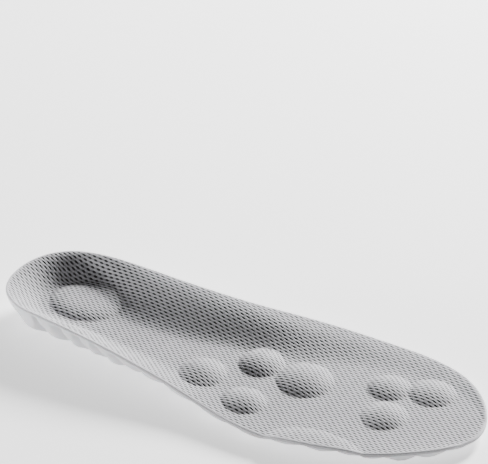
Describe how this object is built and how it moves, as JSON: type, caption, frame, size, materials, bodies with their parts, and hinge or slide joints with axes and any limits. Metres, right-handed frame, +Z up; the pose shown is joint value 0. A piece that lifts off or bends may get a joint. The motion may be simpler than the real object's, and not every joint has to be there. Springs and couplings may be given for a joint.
{
  "type": "cushioned insole",
  "caption": "Right cushioned insole with a mesh top cover over a moulded foam body: heel cup, arch rise, massage domes and a bubble-cell underside.",
  "frame": {"origin": "middle of the overall length and width, on the surface the insole rests on", "axes": "+X from heel to toe, +Y towards the inner side of the foot, +Z up"},
  "size_m": [0.26, 0.093, 0.0205],
  "materials": {
    "cover_mesh": "grey knitted polyester mesh with rows of small staggered openings",
    "film": "thin hot-melt bonding film",
    "foam": "off-white moulded polyurethane foam with a smooth matte skin"
  },
  "bodies": {
    "root": {"mesh_top_cover": "cover_mesh", "bonding_film": "film", "foam_body": "foam"}
  },
  "joints": []
}
